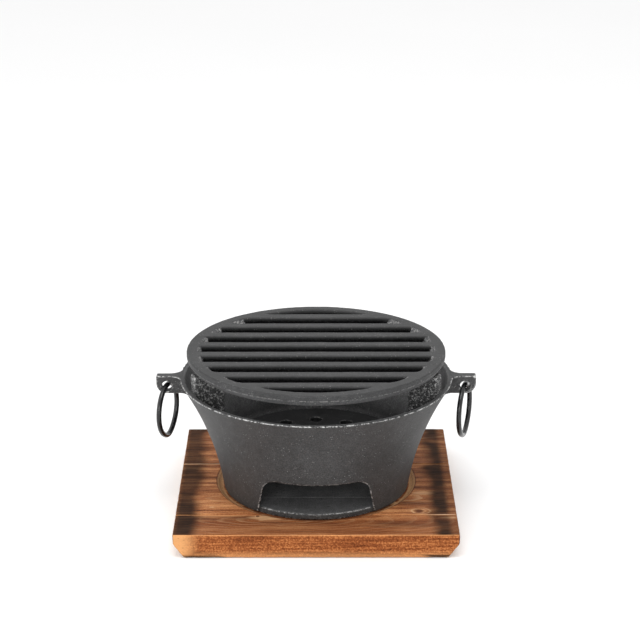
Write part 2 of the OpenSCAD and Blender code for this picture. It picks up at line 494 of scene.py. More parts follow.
@dataclass(frozen=True)
class CastIron:
    """Sand-cast iron under a matt coating: grain, mottling, pits, bright grains, soot with painted shade,
    painted light and worn edges.

    Attributes:
        name: The material's name.
        tone: The coating's middle colour.
        mottle: How strongly light and dark patches differ.
        worn: Colour of the metal on worn edges and rough faces.
        wear: Share of the edges that is worn bright, which also serves as painted edge highlights.
        grain: Depth of the sand grain, in metres.
        roughness: Middle roughness.
        lift: How much lighter the faces with painted light are than the rest.
    """

    name: str
    tone: tuple[float, float, float]
    mottle: float
    worn: tuple[float, float, float]
    wear: float
    grain: float
    roughness: float
    lift: float = 5.8

    def material(self) -> bpy.types.Material:
        """Builds the finish.

        Returns:
            The material.
        """
        b = Bench(self.name)
        at = b.place()
        broad = b.noise(at, 24.0, 2.0)
        blotch = b.noise(at, 210.0, 3.0, 0.6)
        sand = b.noise(at, 1000.0, 2.0, 0.65)
        fine = b.noise(at, 2300.0, 2.0, 0.6)
        pits = b.spots(at, 190.0).rise(0.21, 0.12) * b.noise(at, 60.0, 1.0).rise(0.50, 0.60)
        stars = b.spots(at, 520.0).rise(0.20, 0.10) * b.noise(at, 110.0, 1.0).rise(0.46, 0.60)
        ridge, bare, soot, pale = (b.shade_of(name) for name in ("ridge", "bare", "soot", "pale"))
        level = (broad - 0.5) * (1.1 * self.mottle) + (blotch - 0.5) * self.mottle
        level = level + (sand - 0.5) * 1.5 + (fine - 0.5) * 1.3
        dark = tuple(0.45 * c for c in self.tone)
        light = tuple(1.9 * c for c in self.tone)
        colour = b.ramp(level + 0.5, [(0.0, dark), (0.5, self.tone), (1.0, light)])
        # pale holds painted light: it lifts lit faces such as the bowl's inside, the rear lug's rib edges
        # and the slot ends.
        colour = b.mix(pale, colour, b.mix(1.0, colour, (self.lift, self.lift, self.lift), "MULTIPLY"))
        pits = pits * (pale * 0.85 + 0.15)
        colour = b.mix(pits * 0.85, colour, tuple(0.16 * c for c in self.tone))
        colour = b.mix(stars * 0.35, colour, self.worn)
        lumps = b.noise(at, 520.0, 2.0, 0.7)
        crumbs = (sand * 0.4 + lumps * 0.6).rise(0.51, 0.60)
        hollow_shade = (sand * 0.4 + lumps * 0.6).rise(0.49, 0.40)
        # Painted shade in the hollows of the rough lugs.
        colour = b.mix(bare * hollow_shade * 0.6, colour, tuple(0.3 * c for c in self.tone))
        soot = (soot * (0.35 + sand * 1.3)).least(1.0)
        # Soot and painted shade: the fire grate's even soot, painted shade down the grate's slots and on
        # the rear lug's face, and darkening towards the bowl's bottom.
        colour = b.mix(soot * 0.95, colour, tuple(0.06 * c for c in self.tone))
        # Worn edges and the lugs' bright crumbs: real wear that also stands in for painted edge highlights
        # and glints.
        edge_wear_and_glints = ridge.rise(0.25, 0.8) * (sand * 0.5 + b.noise(at, 420.0, 2.0) * 0.5).rise(0.45, 0.56)
        wear = (edge_wear_and_glints * self.wear).most(bare * crumbs * 0.5)
        colour = b.mix(wear, colour, self.worn)
        height = sand * 0.6 + fine * 0.25 + blotch * 0.3 - pits * 0.9 + bare * lumps * 3.0
        shine = self.roughness + (sand - 0.5) * 0.3 - wear * 0.16 + pits * 0.2 + soot * 0.2
        return b.finish(
            Base_Color=colour,
            Metallic=0.25 + soot * 0.7,
            Roughness=shine.least(0.95).most(0.2),
            Specular_IOR_Level=0.35,
            Normal=b.bump(height, self.grain),
        )


@dataclass(frozen=True)
class BlackWire:
    """Steel wire under gloss black enamel, with drawing lines and small dulled patches.

    Attributes:
        name: The material's name.
        tone: The enamel's colour.
    """

    name: str
    tone: tuple[float, float, float]

    def material(self) -> bpy.types.Material:
        """Builds the finish.

        Returns:
            The material.
        """
        b = Bench(self.name)
        at = b.place()
        dull = b.noise(at, 210.0, 3.0).rise(0.52, 0.7)
        orange_peel = b.noise(at, 900.0, 2.0)
        scratch = b.noise(b.stretched(at, (1500.0, 1500.0, 220.0)), 1.0, 2.0).rise(0.66, 0.74)
        colour = b.mix(dull * 0.35, self.tone, (0.035, 0.035, 0.036))
        colour = b.mix(scratch * 0.3, colour, (0.16, 0.16, 0.16))
        return b.finish(
            Base_Color=colour,
            Roughness=0.22 + dull * 0.16 + scratch * 0.2,
            IOR=1.4,
            Coat_Weight=0.25,
            Coat_Roughness=0.1,
            Normal=b.bump(orange_peel + scratch * 0.4, 0.00006),
        )


class Trace(Enum):
    """What a mark in the wood is, and its colour."""

    BARE = (0.66, 0.40, 0.21)
    GLOW = (0.50, 0.19, 0.065)
    # Dark charred smudges; the ones along the front strip are painted shade.
    SMOKE_AND_SHADE = (0.055, 0.026, 0.016)
    KNOT = (0.09, 0.025, 0.010)


@dataclass(frozen=True)
class Mark:
    """One mark in the wood: its kind, middle, half length and half width in millimetres, and strength."""

    kind: Trace
    x: float
    y: float
    long: float
    wide: float
    strength: float = 0.7


class Wood(Enum):
    """The colours of the pine where it isn't a mark."""

    SHADY = (0.15, 0.048, 0.019)
    SPLIT = (0.70, 0.35, 0.14)
    FLECK = (0.09, 0.03, 0.012)
    COAL = (0.012, 0.007, 0.005)
    EMBER = (0.052, 0.028, 0.018)
    BEVEL = (0.42, 0.245, 0.13)
    SAWN = (0.74, 0.42, 0.21)
    SAWN_FIBRE = (0.50, 0.25, 0.115)
    SAWN_REAR = (0.45, 0.17, 0.06)
    SCORE = (0.16, 0.06, 0.03)
    RIM_LINE = (0.06, 0.022, 0.012)
    GLUE = (0.03, 0.013, 0.008)
    FLAKED = (0.66, 0.45, 0.29)


UPPER_TONES = ((0.0, (0.082, 0.022, 0.008)), (0.45, (0.35, 0.118, 0.041)), (1.0, (0.74, 0.35, 0.145)))
FRONT_TONES = ((0.0, (0.11, 0.028, 0.008)), (0.5, (0.25, 0.072, 0.021)), (1.0, (0.50, 0.19, 0.062)))


@dataclass(frozen=True)
class ScorchedPine:
    """Flame-charred and brushed pine: growth lines, knots, torch marks, painted shade along the front and
    back strips, charred ends and a cut recess.

    Attributes:
        name: The material's name.
        shift: Offset of the plank's own pattern, in millimetres.
        spacing: Distance between growth lines, in millimetres.
        heart: Middle of the plank's long growth ovals along X and Y, in millimetres.
        taper: Width of those ovals over their length.
        clear: How clearly the growth lines show near the ovals' middle.
        lines: How clearly they show elsewhere.
        marks: The plank's marks.
        joints: Places of the rear and the front glue joint along Y, in millimetres.
        ends: Half the board's width, in millimetres.
        top: Height of the upper face, in millimetres.
        recess: Radii of the recess's floor and of its upper edge, in millimetres.
    """

    name: str
    shift: float
    spacing: float
    heart: tuple[float, float]
    taper: float
    clear: float
    lines: float
    marks: tuple[Mark, ...]
    joints: tuple[float, float]
    ends: float
    top: float
    recess: tuple[float, float]

    def material(self) -> bpy.types.Material:
        """Builds the finish.

        Returns:
            The material.
        """
        b = Bench(self.name)
        at = b.stretched(b.place(), (1000.0, 1000.0, 1000.0))
        x, y, z = b.split(at)
        _, _, up = b.split(b.out("ShaderNodeNewGeometry", output="Normal"))
        face = up.rise(0.5, 0.85)
        radius = (x * x + y * y) ** 0.5
        warp = b.noise(b.stretched(at, (0.045, 0.11, 0.11), (self.shift, 0, 0)), 1.0, 2.0) - 0.5
        fibre = b.noise(b.stretched(at, (0.05, 1.3, 1.3), (self.shift, 0, 0)), 1.0, 3.0, 0.65)
        streak = b.noise(b.stretched(at, (0.009, 0.13, 0.10), (0, self.shift, 0)), 1.0, 3.0, 0.6)
        speck = b.noise(at, 0.8, 2.0, 0.7)
        rings, near = self.growth(b, x, y, z, warp)
        level = (streak - 0.5) * 2.1 + (fibre - 0.5) * 1.7 + (speck - 0.5) * 0.8 + 0.48
        upper = b.ramp(level, UPPER_TONES)
        inside = radius.rise(self.recess[0] + 1.0, self.recess[0] - 2.0)
        shady = (inside * y.rise(30.0, -45.0) * 0.7).most(x.rise(55.0, 85.0) * 0.35).most(near * 0.5)
        shady = shady.most(abs(y).rise(60.0, 84.0) * 0.62)
        upper = b.mix(shady, upper, Wood.SHADY.value)
        upper = b.mix(rings * (near * self.clear + self.lines) * face, upper, Trace.BARE.value)
        rough_saw = b.noise(b.stretched(at, (0.02, 0.4, 0.55), (self.shift, 0, 0)), 1.0, 3.0, 0.7)
        sawn = (rough_saw - 0.5) * 1.9 + (fibre - 0.5) * 0.8 + (speck - 0.5) * 2.0 + 0.5
        front = b.ramp(sawn, FRONT_TONES)
        pale = (z.rise(7.0, 0.0) * 0.5).most(x.rise(-84.0, -101.0) * 0.85)
        pale = pale.most(z.rise(self.top - 1.6, self.top - 0.6) * 0.5)
        front = b.mix(pale, front, Wood.SPLIT.value)
        flecks = b.spots(b.stretched(at, (0.16, 0.5, 0.5)), 1.0).rise(0.17, 0.08)
        front = b.mix(flecks * 0.6, front, Wood.FLECK.value)
        colour = b.mix(face, front, upper)
        for mark in self.marks:
            colour = self.marked(b, colour, mark, x, y, warp * 1.6 + (fibre - 0.5) * 0.9, face)
        colour = self.cut(b, colour, y, z, radius, fibre)
        char = self.char(b, at, x, y, face, fibre)
        foot = (z + (streak - 0.5) * 9.0).rise(3.6, 1.6) * (abs(x) + (streak - 0.5) * 60.0).rise(70.0, 82.0)
        char = char.most((1 - face) * foot * 0.9)
        coal = b.mix(fibre.rise(0.4, 0.7), Wood.COAL.value, Wood.EMBER.value)
        colour = b.mix(char * 0.97, colour, coal)
        colour = self.jointed(b, colour, x, y, face, fibre)
        under = up.rise(-0.2, -0.4) * abs(x).rise(self.ends - 10.0, self.ends - 8.6)
        colour = b.mix(under * 0.75, colour, Wood.BEVEL.value)
        height = fibre * 0.45 + rings * 0.4 + speck * 0.2 - char * 0.2
        return b.finish(
            Base_Color=colour,
            Roughness=(0.55 + char * 0.2 + (fibre - 0.5) * 0.35).least(0.95),
            Specular_IOR_Level=0.06,
            Normal=b.bump(height, 0.0003),
        )

    def growth(self, b: Bench, x: Shade, y: Shade, z: Shade, warp: Shade) -> tuple[Shade, Shade]:
        """The growth rings where the plank's faces cut them: long ovals round the plank's heart.

        Args:
            b: The bench; not used.
            x: The place along the grain.
            y: The place across the grain.
            z: The height.
            warp: Slow waviness about 0.

        Returns:
            The hard late wood from 0 to 1, and nearness to the ovals' middle from 0 to 1.
        """
        run = (x - self.heart[0]) * self.taper
        rise = y - self.heart[1] + (self.top - z) * 0.6 + warp * 9.0
        across = (run * run + rise * rise + 1.0) ** 0.5
        phase = (across / self.spacing + warp * 0.8).fraction()
        near = across.rise(15.0, 4.0)
        return phase.rise(0.55, 0.88) * phase.rise(1.0, 0.94), near

    @staticmethod
    def marked(
        b: Bench, colour: Shade, mark: Mark, x: Shade, y: Shade, rag: Shade, face: Shade
    ) -> Shade:
        """Lays one mark over the colour; a knot also gets light rings round it.

        Args:
            b: The bench.
            colour: The colour under the mark.
            mark: The mark.
            x: The place along the grain.
            y: The place across the grain.
            rag: Raggedness of the mark's outline, about 0.
            face: 1 on the upper faces.

        Returns:
            The marked colour.
        """
        run, rise = (x - mark.x) / mark.long, (y - mark.y) / mark.wide
        reach = run * run + rise * rise + rag
        if mark.kind is not Trace.KNOT:
            share = (reach.rise(1.4, 0.1) * (0.75 - rag * 0.6)).least(1.0)
            return b.mix(share * face * mark.strength, colour, mark.kind.value)
        reach = reach + rag
        ring = reach.rise(0.5, 0.75) * reach.rise(1.2, 0.9) * (0.7 - run * 0.4)
        halo = reach.rise(1.8, 2.3) * reach.rise(3.2, 2.6) * (0.3 + run * 0.25)
        colour = b.mix(ring.most(halo) * face * mark.strength, colour, Trace.BARE.value)
        return b.mix(reach.rise(0.55, 0.15) * face * mark.strength, colour, mark.kind.value)

    def cut(self, b: Bench, colour: Shade, y: Shade, z: Shade, radius: Shade, fibre: Shade) -> Shade:
        """Lays the freshly cut wall of the recess over the colour, with the dark line along its upper edge.

        Args:
            b: The bench.
            colour: The colour under it.
            y: The place across the grain.
            z: The height.
            radius: The distance from the recess's middle.
            fibre: The fibres, from 0 to 1.

        Returns:
            The colour with the wall.
        """
        wall = radius.rise(self.recess[0] - 1.4, self.recess[0] - 0.2)
        wall = wall * radius.rise(self.recess[1] + 0.3, self.recess[1] - 0.3)
        score = abs(radius - (self.recess[0] + 2.3)).rise(0.45, 0.1) * 0.35
        fresh = b.mix(fibre.rise(0.35, 0.7), Wood.SAWN.value, Wood.SAWN_FIBRE.value)
        fresh = b.mix(y.rise(45.0, 72.0) * 0.8, fresh, Wood.SAWN_REAR.value)
        score = score.most(z.rise(self.top - 0.9, self.top - 0.3) * 0.25)
        fresh = b.mix(score, fresh, Wood.SCORE.value)
        line = abs(radius - (self.recess[1] + 0.35)).rise(0.6, 0.15) * 0.6
        return b.mix(wall * 0.92, b.mix(line, colour, Wood.RIM_LINE.value), fresh)

    def char(self, b: Bench, at: Shade, x: Shade, y: Shade, face: Shade, fibre: Shade) -> Shade:
        """Where the torch has charred the wood: a band along both ends and the end faces.

        Args:
            b: The bench.
            at: The place, in millimetres.
            x: Its part along the board.
            y: Its part across the board.
            face: 1 on the upper faces.
            fibre: The fibres, from 0 to 1.

        Returns:
            The charred share from 0 to 1.
        """
        edge = b.noise(b.stretched(at, (0.03, 0.045, 0.045)), 1.0, 2.0, 0.5) - 0.5
        blotch = b.noise(b.stretched(at, (0.02, 0.03, 0.03), (7.0, 0, 0)), 1.0, 2.0).rise(0.36, 0.62)
        rag = edge * 16.0 + (fibre - 0.5) * 9.0
        left = (rag - x).rise(self.ends - 22.0, self.ends - 11.0) * (0.85 + blotch * 0.15)
        left = left * (1 - (x * -1.0).rise(self.ends - 4.0, self.ends - 1.0) * 0.15)
        right = (x + rag).rise(self.ends - 24.0, self.ends - 13.0) * (0.62 + blotch * 0.38)
        right = right.most(b.bell(x, y, (93.0, 20.0), (13.0, 9.0)) * 0.95)
        right = right * (1 - x.rise(self.ends - 9.0, self.ends - 3.0) * 0.6)
        end_face = abs(x).rise(self.ends - 1.0, self.ends - 0.2)
        return (left.most(right) * face).most(end_face * 0.72)

    def jointed(self, b: Bench, colour: Shade, x: Shade, y: Shade, face: Shade, fibre: Shade) -> Shade:
        """Lays the glue joints over the colour: a fine dark line, bare and light where char has flaked off.

        Args:
            b: The bench.
            colour: The colour under them.
            x: The place along the joints.
            y: The place across them.
            face: 1 on the upper faces.
            fibre: The fibres, from 0 to 1.

        Returns:
            The colour with the joints.
        """
        for joint, bare in zip(self.joints, (x.rise(-68.0, -76.0), x.rise(78.0, 86.0)), strict=True):
            gap = abs(y - joint)
            colour = b.mix(gap.rise(0.6, 0.15) * (0.75 - bare * 0.5) * face, colour, Wood.GLUE.value)
            lip = (gap + (fibre - 0.5) * 1.2).rise(1.1, 0.5) * bare
            colour = b.mix(lip * face * 0.85, colour, Wood.FLAKED.value)
        return colour


# ---------------------------------------------------------------- the pieces


class Slot(Enum):
    """Four material slot names, not used in this script."""

    BOARD = "board"
    STOVE = "stove_iron"
    GRATE = "grate_iron"
    RING = "ring_wire"


def make_object(name: str, casting: Casting, material: bpy.types.Material) -> bpy.types.Object:
    """Turns a mesh in millimetres into an object in metres.

    Args:
        name: The piece's name.
        casting: The mesh.
        material: Its finish.

    Returns:
        The object, linked to the scene.
    """
    casting.face_outwards()
    sides = casting.faces.shape[1]
    mesh = bpy.data.meshes.new(name)
    mesh.vertices.add(len(casting.points))
    mesh.vertices.foreach_set("co", (casting.points * MM).astype(np.float32).ravel())
    mesh.loops.add(casting.faces.size)
    mesh.loops.foreach_set("vertex_index", casting.faces.astype(np.int32).ravel())
    mesh.polygons.add(len(casting.faces))
    mesh.polygons.foreach_set("loop_start", np.arange(0, casting.faces.size, sides, dtype=np.int32))
    mesh.update(calc_edges=True)
    mesh.polygons.foreach_set("use_smooth", np.ones(len(casting.faces), bool))
    for key, values in casting.shades.items():
        layer = mesh.attributes.new(key, "FLOAT", "POINT")
        layer.data.foreach_set("value", values.astype(np.float32))
    mesh.validate()
    mesh.normals_split_custom_set_from_vertices(casting.normals.tolist())
    mesh.materials.append(material)
    made = bpy.data.objects.new(name, mesh)
    bpy.context.scene.collection.objects.link(made)
    return made


def settle_piece(made: bpy.types.Object, body: str, node: str) -> None:
    """Puts a finished piece on its body in place of its CAD node, and reports it.

    Args:
        made: The piece.
        body: The body that it rides on.
        node: The node that it stands for.
    """
    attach(made, body)
    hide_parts(node)
    log.info("%s rides on %s: %d faces", made.name, body, len(made.data.polygons))


def span(node: str) -> tuple[Array, Array]:
    """A node's lowest and highest corners, in millimetres."""
    low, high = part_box(node)
    return np.array(low) / MM, np.array(high) / MM


@dataclass
class Stove:
    """The stove's casting: flared wall, floor, ears, air inlet, and three lugs with their ledges.

    All sizes are in millimetres, and heights are above the foot.
    """

    finish: CastIron
    foot_r: float = 71.8
    flare_r: float = 230.7
    wall: float = 3.6
    floor_t: float = 5.0
    sill_back: float = 1.2
    inlet_foot: float = 44.0
    inlet_lean: float = 9.75
    inlet_top: float = 32.0
    inlet_corner: float = 9.0
    ear_t: float = 7.5
    ear_h: float = 14.5
    ear_root: float = 7.0
    hole_x: float = 114.6
    hole_drop: float = 8.4
    hole_r: float = 4.0
    lug_t: float = 11.5
    lug_in: float = 75.0
    lug_flat: float = 90.0
    lug_out: float = 99.0
    lug_slope: float = 13.5
    lug_dish: float = 2.2
    lug_dish_w: float = 3.6
    lug_angles: tuple[float, ...] = (90.0, -20.0, 200.0)
    lug_rise: float = 12.0
    lug_fillet: float = 1.5
    ledge_in: float = 66.0
    ledge_z: float = 28.0
    ledge_t: float = 4.0
    rim_edge: float = 0.8
    foot_edge: float = 1.6
    floor_fillet: float = 4.0
    hole_edge: float = 0.9
    ear_corner: float = 8.0
    ear_edge: float = 1.6
    bare_from: float = 34.0
    cell: float = 1.2

    def __post_init__(self) -> None:
        """Takes the overall sizes from the frame and works out the flare's middle."""
        low, high = span("stove_body")
        self.foot_z = low[2]
        self.tip = high[0]
        self.rim_r = -low[1]
        self.lug_top = high[2] - low[2]
        self.rim_z = self.lug_top - self.lug_rise
        run, rise = self.rim_r - self.foot_r, self.rim_z
        chord = math.hypot(run, rise)
        reach = math.sqrt(self.flare_r**2 - chord**2 / 4) / chord
        self.flare_x = (self.foot_r + self.rim_r) / 2 + rise * reach
        self.flare_z = rise / 2 - run * reach

    def field(self, points: Array) -> Array:
        """Distances to the casting.

        Args:
            points: Places in the row frame.

        Returns:
            One distance for each place.
        """
        x, y, z = points[:, 0], points[:, 1], points[:, 2] - self.foot_z
        radius = np.hypot(x, y)
        to_flare = np.hypot(radius - self.flare_x, z - self.flare_z)
        skin = self.flare_r - to_flare
        solid = either(skin, self.ears(np.abs(x), np.abs(y), z), self.ear_root)
        solid = both(solid, z - self.rim_z, self.rim_edge)
        solid = both(solid, -z, self.foot_edge)
        hollow = both(skin + self.wall, self.floor_t - z, self.floor_fillet)
        solid = without(solid, hollow, self.rim_edge)
        solid = without(solid, self.inlet(x, y, z, radius), self.hole_edge)
        hole = np.hypot(np.abs(x) - self.hole_x, z - (self.rim_z - self.hole_drop)) - self.hole_r
        solid = without(solid, hole, self.hole_edge)
        for angle in self.lug_angles:
            solid = either(solid, self.lug(x, y, z, skin, math.radians(angle)), self.lug_fillet)
        return solid

    def ears(self, x: Array, y: Array, z: Array) -> Array:
        """Distances to both ears, which go on upwards past the rim."""
        tip = both(x - self.tip, (self.rim_z - self.ear_h) - z, self.ear_corner)
        return both(tip, y - self.ear_t / 2, self.ear_edge)

    def inlet(self, x: Array, y: Array, z: Array, radius: Array) -> Array:
        """Distances to the air that is cut out of the wall at the front."""
        lean = math.radians(self.inlet_lean)
        side = (np.abs(x) - self.inlet_foot) * math.cos(lean) + (z + 1.0) * math.sin(lean)
        window = both(side, z - self.inlet_top, self.inlet_corner)
        window = np.maximum(window, y + 40.0)
        plate = both(radius - (self.foot_r - self.sill_back), z - self.floor_t, 0.8)
        return without(window, plate, 0.6)

    def lug(self, x: Array, y: Array, z: Array, skin: Array, angle: float) -> Array:
        """Distances to one lug and the ledge under it."""
        out = x * math.cos(angle) + y * math.sin(angle)
        aside = np.abs(y * math.cos(angle) - x * math.sin(angle)) - self.lug_t / 2
        run = self.lug_flat - self.lug_in
        length = math.hypot(run, self.lug_slope)
        slope = ((z - self.lug_top) * run - (out - self.lug_flat) * self.lug_slope) / length
        dish = self.lug_dish * np.clip(1.15 - ((aside + self.lug_t / 2) / self.lug_dish_w) ** 2, 0, 1)
        block = both(self.lug_in + dish - out, slope, 2.0)
        block = both(block, both(z - self.lug_top, out - self.lug_out, 2.0), 2.0)
        block = both(block, self.ledge_z - z, 0.5)
        under = (self.ledge_z - self.ledge_t - z + (self.ledge_in - out) * 0.6) * 0.86
        ledge = both(both(self.ledge_in - out, z - self.ledge_z, 0.6), under, 1.0)
        whole = both(np.minimum(block, ledge), aside, 2.2)
        return np.maximum(whole, skin + self.wall / 2)

    def build(self) -> None:
        """Casts the stove, roughens its lugs and puts it in place."""
        low, high = span("stove_body")
        casting = Mould(tuple(low), tuple(high), self.cell).cast(self.field)
        points = casting.points
        self.dress(casting)
        rough = clouds(points, 2.6, 5) * 0.30 + clouds(points, 1.5, 9) * 0.2
        push = ripples(points, ((17.0, 3, 0.10), (4.0, 4, 0.04)), 0.08, 0.05)
        casting.press(push + casting.shades["bare"] * rough, low, high)
        made = make_object("stove_casting", casting, self.finish.material())
        settle_piece(made, "stove", "stove_body")

    def dress(self, casting: Casting) -> None:
        """Marks the rough lugs, darkening towards the bowl's bottom, painted light on the inside and floor,
        and the rear lug's two ribs with painted highlights and painted shade between them.

        Args:
            casting: The stove's mesh, whose shades it sets.
        """
        points = casting.points
        x, y, z = points[:, 0], points[:, 1], points[:, 2] - self.foot_z
        skin = self.flare_r - np.hypot(np.hypot(x, y) - self.flare_x, z - self.flare_z)
        lugs = [self.lug(x, y, z, skin, math.radians(a)) for a in self.lug_angles]
        side_lugs = np.minimum(lugs[1], lugs[2])
        high_up = np.clip((z - self.bare_from) / 8, 0, 1)
        casting.shades["bare"] = np.clip(1.2 - np.abs(side_lugs) * 2.5, 0, 1) * high_up
        within = np.clip(-(skin + self.wall * 0.6), 0, 1)
        # Darker towards the bottom of the bowl.
        casting.shades["soot"] = within * np.clip((60 - z) / 30, 0, 1) * 0.1
        # Painted light on the inner wall away from the lugs, most from mid height to near the rim, and half
        # as much on the lower bowl and floor.
        turn = np.degrees(np.arctan2(y, x))
        gaps = [np.abs((turn - angle + 180) % 360 - 180) for angle in self.lug_angles]
        clear = np.clip((np.minimum.reduce(gaps) - 4) / 34, 0, 1) ** 1.3
        upper = clear * np.clip((z - self.bare_from) / 36, 0, 1)
        upper = upper * (1 - np.clip((z - 78) / 14, 0, 1) * 0.6)
        casting.shades["pale"] = within * np.maximum(upper, np.clip((36 - z) / 8, 0, 1) * 0.5)
        # Rear lug: painted highlights on its two rib edges and painted shade on the face between them, with
        # less edge wear.
        on_lug = np.clip(1 - np.abs(lugs[0]), 0, 1) * within
        rib_highlight = np.clip((np.abs(x) - 2.9) / 1.0, 0, 1)
        casting.shades["pale"] = np.maximum(casting.shades["pale"] * (1 - on_lug), on_lug * rib_highlight)
        casting.shades["soot"] = np.maximum(casting.shades["soot"], on_lug * (1 - rib_highlight) * 0.6)
        casting.shades["ridge"] *= 1 - on_lug * 0.8


@dataclass
class CookingGrate:
    """The slotted grate that lies on the lugs. Sizes are in millimetres."""

    finish: CastIron
    pitch: float = 21.5
    rows: int = 4
    slot_top: float = 12.4
    slot_low: float = 9.4
    slot_end: float = 90.5
    end_lean: float = 0.45
    low_r: float = 95.5
    edge_h: float = 4.0
    cell: float = 1.1

    def field(self, points: Array) -> Array:
        """Distances to the grate.

        Args:
            points: Places in the row frame.

        Returns:
            One distance for each place.
        """
        low, high = span("cooking_grate")
        thick = high[2] - low[2]
        x, y, z = points[:, 0], points[:, 1], points[:, 2] - low[2]
        radius = np.hypot(x, y)
        fall, run = thick - self.edge_h, high[0] - self.low_r
        bevel = ((radius - self.low_r) * fall - z * run) / math.hypot(fall, run)
        disc = both(np.maximum(radius - high[0], bevel), np.abs(z - thick / 2) - thick / 2, 1.0)
        row = np.clip(np.round(y / self.pitch), -self.rows, self.rows)
        half = (self.slot_low + (self.slot_top - self.slot_low) * np.clip(z / thick, 0, 1)) / 2
        aside = (np.abs(y - row * self.pitch) - half) * 0.985
        end = (radius - self.slot_end + (thick - z) * self.end_lean) * 0.91
        return without(disc, both(aside, end, 2.4), 0.8)

    def build(self) -> None:
        """Casts the grate and puts it in place."""
        low, high = span("cooking_grate")
        casting = Mould(tuple(low), tuple(high), self.cell).cast(self.field)
        self.dress(casting, high[2] - casting.points[:, 2])
        casting.press(ripples(casting.points, ((14.0, 21, 0.10), (3.0, 22, 0.05)), 0.07, 0.03), low, high)
        made = make_object("slotted_grate", casting, self.finish.material())
        settle_piece(made, "cooking_grate", "cooking_grate")

    def dress(self, casting: Casting, height: Array) -> None:
        """Marks painted shade down the slots, painted highlights on their ends, and the paler bevel with
        its worn arris.

        Args:
            casting: The grate's mesh, whose shades it sets.
            height: How far each point lies below the upper face.
        """
        radius = np.hypot(casting.points[:, 0], casting.points[:, 1])
        between = np.clip((93.0 - radius) / 2, 0, 1)
        at_end = np.abs(casting.normals[:, 0]) > 0.5
        slot_end_glints = np.exp(-(((radius - self.slot_end + 1.5) / 2.0) ** 2)) * at_end
        # Painted shade: darker down the slot walls, except on the slot ends.
        casting.shades["soot"] = between * np.clip((height - 0.2) / 3.2, 0, 1) ** 0.75 * (1 - slot_end_glints)
        outer = np.clip((radius - 93.5) / 1.5, 0, 1)
        bevel = outer * np.clip(height - self.edge_h + 0.3, 0, 1)
        bevel = bevel * np.clip((casting.normals[:, 2] + 0.95) * 5, 0, 1)
        # Painted highlights on the slot ends, as pale and as bare metal; the outer bevel is made lighter.
        casting.shades["pale"] = np.maximum(slot_end_glints * 0.6, bevel * 0.22)
        casting.shades["bare"] = slot_end_glints * np.clip(1.8 - np.abs(height - 2.0) / 2, 0, 1)
        arris = outer * np.exp(-(((height - self.edge_h - 0.2) / 0.7) ** 2))
        casting.shades["ridge"] = np.maximum(casting.shades["ridge"] * 0.22, arris * 0.55)


@dataclass
class FireGrate:
    """The pierced disc that holds the charcoal. Sizes are in millimetres."""

    finish: CastIron
    hole_r: float = 4.5
    rings: tuple[tuple[float, int], ...] = ((0.0, 1), (24.0, 6), (48.0, 12))
    soot: float = 0.25
    cell: float = 1.2

    def field(self, points: Array) -> Array:
        """Distances to the disc.

        Args:
            points: Places in the row frame.

        Returns:
            One distance for each place.
        """
        low, high = span("fire_grate")
        thick = high[2] - low[2]
        x, y, z = points[:, 0], points[:, 1], points[:, 2] - low[2]
        disc = both(np.hypot(x, y) - high[0], np.abs(z - thick / 2) - thick / 2, 1.2)
        for radius, count in self.rings:
            for i in range(count):
                turn = 2 * math.pi * i / count
                hole = np.hypot(x - radius * math.cos(turn), y - radius * math.sin(turn)) - self.hole_r
                disc = without(disc, hole, 1.0)
        return disc

    def build(self) -> None:
        """Casts the disc and puts it in place."""
        low, high = span("fire_grate")
        casting = Mould(tuple(low), tuple(high), self.cell).cast(self.field)
        casting.press(ripples(casting.points, ((9.0, 31, 0.12), (2.5, 32, 0.05)), 0.1, 0.02), low, high)
        for name, value in (("bare", 0.0), ("soot", self.soot), ("pale", 0.0)):
            casting.shades[name] = np.full(len(casting.points), value)
        made = make_object("charcoal_grate", casting, self.finish.material())
        settle_piece(made, "fire_grate", "fire_grate")


